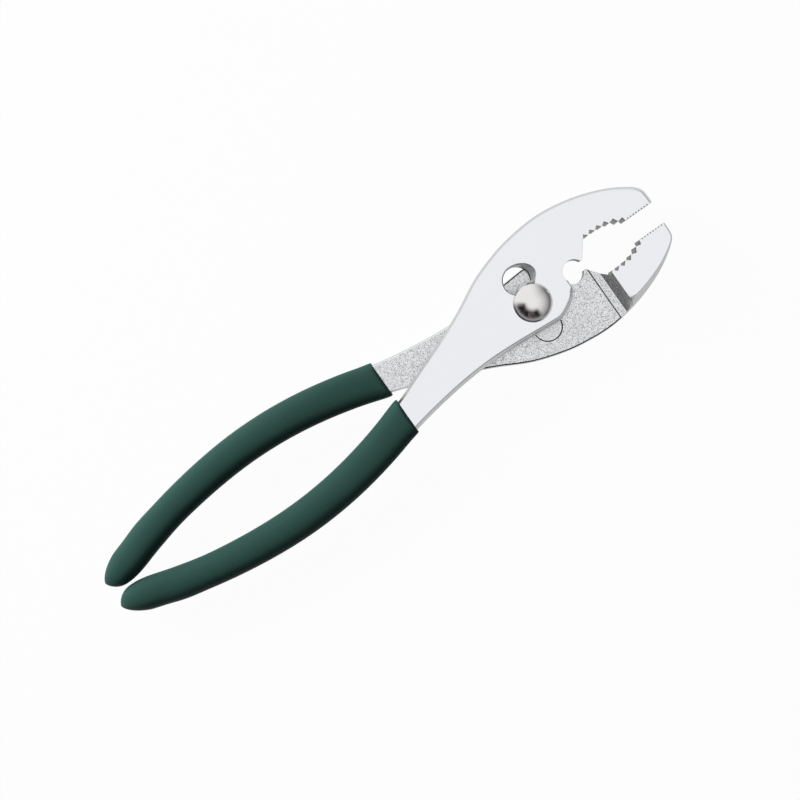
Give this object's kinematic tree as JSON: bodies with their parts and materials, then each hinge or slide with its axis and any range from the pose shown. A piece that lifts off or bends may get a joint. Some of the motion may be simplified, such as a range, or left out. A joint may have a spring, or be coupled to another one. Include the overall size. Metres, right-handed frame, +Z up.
{
  "type": "slip joint pliers",
  "caption": "Slip joint pliers with crossed forged steel halves on a domed bolt, a figure-of-eight slot, toothed curved jaws, a wire notch and dipped bowed grips.",
  "frame": {"origin": "on the bolt's axis, at the flat end of the bolt under the nut", "axes": "+X along the tool from the bolt to the jaws, +Y across the tool to the slotted half's jaw, +Z up the bolt to its domed head"},
  "size_m": [0.2023, 0.041, 0.0178],
  "materials": {
    "polished_steel": "satin polished nickel chrome plate",
    "blasted_steel": "fine sand-blasted plate, polished on the jaw's face",
    "bolt_steel": "bright polished",
    "dipped_vinyl": "satin dark green dipped vinyl"
  },
  "bodies": {
    "pivot_side": {"pivot_half": "blasted_steel", "pivot_grip": "dipped_vinyl"},
    "bolt": {"pivot_bolt": "bolt_steel", "pivot_nut": "bolt_steel"},
    "slotted_side": {"slotted_half": "polished_steel", "slotted_grip": "dipped_vinyl"}
  },
  "joints": [
    {"name": "open", "type": "hinge", "parent": "pivot_side", "child": "bolt", "pos_m": [0, 0, 0.00925], "axis": [0, 0, 1], "range_deg": [0, 45]},
    {"name": "slip", "type": "slide", "parent": "bolt", "child": "slotted_side", "axis": [0, -1, 0], "range_m": [0, 0.007]}
  ]
}
